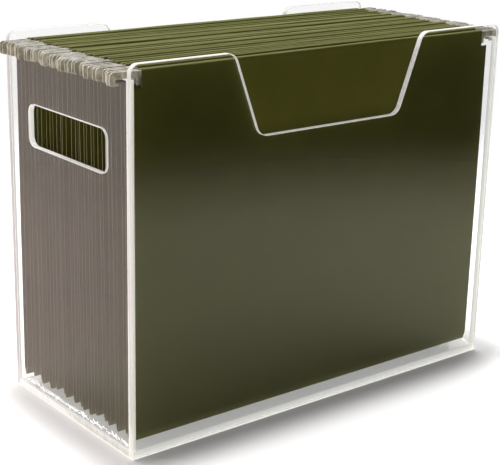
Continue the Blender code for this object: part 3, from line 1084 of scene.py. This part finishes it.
def folder_sheet(number, name, facts):
    """Sweeps a folder's profile into its sheet; the paler cut edges face left and right."""
    profile = folder_profile(number, facts)
    mesh = bpy.data.meshes.new(name + "_profile")
    mesh.from_pydata(
        [(0.0, point[0], point[1]) for point in profile],
        [(i, i + 1) for i in range(len(profile) - 1)],
        [],
    )
    for column, label in enumerate(("slack", "loose", "fold", "tone"), start=2):
        attribute = mesh.attributes.new(label, "FLOAT", "POINT")
        attribute.data.foreach_set("value", [point[column] for point in profile])
    holder = bpy.data.objects.new(name + "_profile", mesh)
    scene.collection.objects.link(holder)
    sweep = holder.modifiers.new("sweep", "NODES")
    sweep.node_group = SHEET_TREE
    set_inputs(sweep, {
        "Body Width": BODY_WIDTH,
        "Hem Width": HEM_WIDTH,
        "Shoulder Height": SHOULDER,
        "Stations": STATIONS,
        "Ripple": FLAP_RIPPLE,
        "Seed": float(number) * 3.7,
        "Stock": OLIVE,
    })
    shell = holder.modifiers.new("card", "SOLIDIFY")
    shell.thickness = PAPER
    shell.offset = 0.0
    shell.use_even_offset = True
    piece = bake(holder, name + "_sheet", facts["place"])
    piece.data.materials.append(CUT_EDGE)
    for face in piece.data.polygons:
        if abs(face.normal.x) > 0.7:
            face.material_index = CUT_EDGE_SLOT
    piece.data.shade_smooth()
    piece.data.set_sharp_from_angle(angle=math.radians(40))
    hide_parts(name + "_paper")
    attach(piece, name)


for number, (name, facts) in enumerate(zip(FOLDERS, FACTS), start=1):
    folder_sheet(number, name, facts)


# ======================================================================================
# Rods.  Every hem holds a flat steel rod with a hook pressed into each end; the steel is
# dipped in cream plastic, worn through to steel in scattered specks.
# ======================================================================================
ROD_THICKNESS = 1.2 * MM
ROD_EDGE = 0.3 * MM


def rod_outline(top, bottom, leg_bottom):
    """A rod seen from the front: a flat strip whose ends fork into a leg and a footed hook."""
    leg_radius = 0.9 * MM
    box_side = HALF_WIDTH
    tip = box_side + 8.2 * MM
    notch_outer = box_side + 4.6 * MM
    notch_inner = box_side - 9.1 * MM
    leg_inner = notch_inner - 2.5 * MM
    foot_end = box_side + 2.2 * MM
    foot_bottom = leg_bottom + 0.4 * MM
    foot_top = leg_bottom + 1.7 * MM
    right = [
        (leg_inner, bottom, 0.4 * MM),
        (leg_inner, leg_bottom, leg_radius),
        (notch_inner, leg_bottom, leg_radius),
        (notch_inner, bottom, leg_radius),
        (notch_outer, bottom, leg_radius),
        (notch_outer, foot_top, leg_radius),
        (foot_end, foot_top, 0.5 * MM),
        (foot_end, foot_bottom, 0.5 * MM),
        (tip, foot_bottom, 1.6 * MM),
        (tip, top, 2.4 * MM),
    ]
    left = [(-x, z, radius) for x, z, radius in reversed(right)]
    return rounded_outline(right + left, 5)


def coated_steel():
    """Cream dip coating with a soft shine, worn to steel in scattered specks."""
    material, tree, shader = new_material("cream_coated_steel")
    where = add_node(tree, "ShaderNodeTexCoord")
    chips = add_node(tree, "ShaderNodeTexNoise", Scale=900.0, Detail=4.0, Roughness=0.75)
    mottle = add_node(tree, "ShaderNodeTexNoise", Scale=180.0, Detail=3.0)
    tint = color_ramp(tree, (0.40, 0.38, 0.30, 1), (0.84, 0.82, 0.73, 1), 0.36, 0.62)
    worn = calculate(tree, "GREATER_THAN", 0.68)
    steel = mix_colors(tree, second=(0.45, 0.43, 0.38, 1))
    link(tree, where, "Object", chips, "Vector")
    link(tree, where, "Object", mottle, "Vector")
    link(tree, mottle, "Fac", tint, "Fac")
    link(tree, chips, "Fac", worn, 0)
    link(tree, worn, 0, steel, "Factor")
    link(tree, tint, "Color", steel, MIX_FIRST)
    link(tree, steel, MIX_RESULT, shader, "Base Color")
    link(tree, worn, 0, shader, "Metallic")
    add_marks(tree, shader, 1500.0, 0.18, 0.38, 0.25, 0.0002)
    shader.inputs["Coat Weight"].default_value = 1.0
    shader.inputs["Coat Roughness"].default_value = 0.08
    return material


COATED = coated_steel()


def rod_pair_tree():
    """Geometry Nodes: one rod in each of a folder's two hems."""
    tree, given = geometry_tree("rod_pair", {
        "Front Hem": "Vector", "Back Hem": "Vector", "Coating": "Material",
    })
    places = tree.nodes.new("GeometryNodeMeshLine")
    places.mode = "END_POINTS"
    places.inputs["Count"].default_value = 2
    link(tree, given, "Front Hem", places, "Start Location")
    link(tree, given, "Back Hem", places, "Offset")
    rods = tree.nodes.new("GeometryNodeInstanceOnPoints")
    link(tree, places, "Mesh", rods, "Points")
    link(tree, given, "Geometry", rods, "Instance")
    return close_tree(tree, given, rods, "Instances", "Coating")


ROD_TREE = rod_pair_tree()
rod_low, rod_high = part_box(FOLDERS[0] + "_front_rod")
rail_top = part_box("left_panel")[1].z
ROD_PATTERN = rounded_slab(
    "rod_pattern",
    [rod_outline(rod_high.z, rail_top + 0.3 * MM, rod_low.z)],
    ROD_THICKNESS,
    ROD_EDGE,
    2,
    STANDING_ALONG_X,
)

for name, facts in zip(FOLDERS, FACTS):
    holder = bpy.data.objects.new(name + "_holder", ROD_PATTERN.data.copy())
    scene.collection.objects.link(holder)
    pair = holder.modifiers.new("pair", "NODES")
    pair.node_group = ROD_TREE
    set_inputs(pair, {
        "Front Hem": (0.0, -facts["spacing"] / 2.0, 0.0),
        "Back Hem": (0.0, facts["spacing"] / 2.0, 0.0),
        "Coating": COATED,
    })
    piece = bake(holder, name + "_rods", facts["place"])
    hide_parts(name + "_front_rod", name + "_back_rod")
    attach(piece, name)
bpy.data.objects.remove(ROD_PATTERN)
